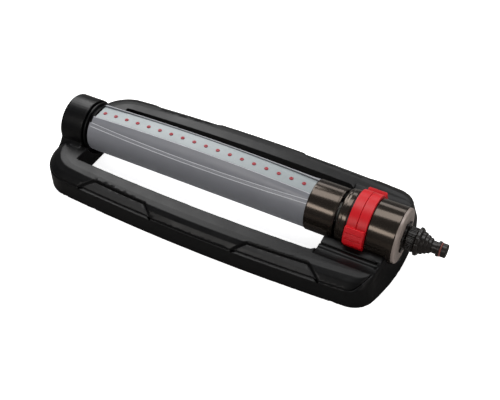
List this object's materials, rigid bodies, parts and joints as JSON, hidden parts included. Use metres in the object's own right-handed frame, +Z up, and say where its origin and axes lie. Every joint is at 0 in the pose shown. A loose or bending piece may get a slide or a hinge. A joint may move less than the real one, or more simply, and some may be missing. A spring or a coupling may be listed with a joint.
{
  "type": "lawn sprinkler",
  "caption": "Oscillating lawn sprinkler: a low closed-ring base carries a swinging spray tube with a row of soft nozzles, a motor head with limit rings and a swivelling hose plug.",
  "frame": {"origin": "on the ground under the middle of the whole object's length and width", "axes": "+X along the spray tube towards the hose plug, +Y to the rear, +Z up"},
  "size_m": [0.4641, 0.184, 0.0708],
  "materials": {
    "black_plastic": "satin moulded black",
    "grey_tube": "satin metallic grey",
    "bead_grey": "light grey joint bead",
    "red_rubber": "soft red",
    "gunmetal": "glossy dark bronze, metallised",
    "plate_grey": "pale warm grey",
    "red_plastic": "red, slightly glossy",
    "dark_plastic": "dark grey hose fitting",
    "black_rubber": "black seal",
    "white_plastic": "white gear plastic",
    "steel": "plain steel"
  },
  "bodies": {
    "base": {"base_shell": "black_plastic", "bearing_bush": "white_plastic", "gear_pin": "steel", "gear_housing": "gunmetal", "sleeve_seal": "black_rubber", "spacer_ring": "black_plastic", "gear_plate": "white_plastic", "motor_cover": "gunmetal", "end_plate": "plate_grey", "jet_plate": "white_plastic", "cradle_screws": "steel", "inlet_stub": "dark_plastic", "stub_clip": "steel", "inlet_screen": "steel"},
    "spray_tube": {"tube_lower": "grey_tube", "tube_crown": "grey_tube", "shell_gasket": "bead_grey", "nozzle_panel": "grey_tube", "nozzle_strip": "red_rubber", "end_cap": "black_plastic", "tube_collar": "gunmetal", "drive_sleeve": "white_plastic", "output_gear": "white_plastic"},
    "idler": {"compound_gear": "white_plastic"},
    "turbine": {"turbine_pinion": "white_plastic", "turbine_rotor": "white_plastic"},
    "flap": {"reversing_flap": "white_plastic"},
    "limit_front": {"limit_ring_front": "red_plastic"},
    "limit_rear": {"limit_ring_rear": "red_plastic"},
    "hose_swivel": {"swivel_nut": "dark_plastic", "nut_washer": "black_rubber", "hose_adaptor": "dark_plastic", "adaptor_oring": "black_rubber"}
  },
  "joints": [
    {"name": "tube_swing", "type": "hinge", "parent": "base", "child": "spray_tube", "pos_m": [-0.02185, 0, 0.0374], "axis": [1, 0, 0], "range_deg": [-45, 45]},
    {"name": "idler_spin", "type": "hinge", "parent": "base", "child": "idler", "pos_m": [-0.02185, 0, 0.0518], "axis": [1, 0, 0], "range_deg": [-135, 135]},
    {"name": "turbine_spin", "type": "hinge", "parent": "base", "child": "turbine", "pos_m": [-0.02185, 0, 0.0374], "axis": [1, 0, 0], "range_deg": [-405, 405]},
    {"name": "flap_throw", "type": "hinge", "parent": "base", "child": "flap", "pos_m": [-0.02185, 0, 0.0319], "axis": [-1, 0, 0], "range_deg": [0, 47.32]},
    {"name": "limit_front_turn", "type": "hinge", "parent": "base", "child": "limit_front", "pos_m": [-0.02185, 0, 0.0374], "axis": [-1, 0, 0], "range_deg": [0, 42]},
    {"name": "limit_rear_turn", "type": "hinge", "parent": "base", "child": "limit_rear", "pos_m": [-0.02185, 0, 0.0374], "axis": [1, 0, 0], "range_deg": [0, 42]},
    {"name": "hose_swivel_turn", "type": "hinge", "parent": "base", "child": "hose_swivel", "pos_m": [-0.02185, 0, 0.0374], "axis": [1, 0, 0], "continuous": true}
  ],
  "couplings": [
    {"joint": "idler_spin", "follows": "tube_swing", "ratio": -3},
    {"joint": "turbine_spin", "follows": "tube_swing", "ratio": 9}
  ]
}
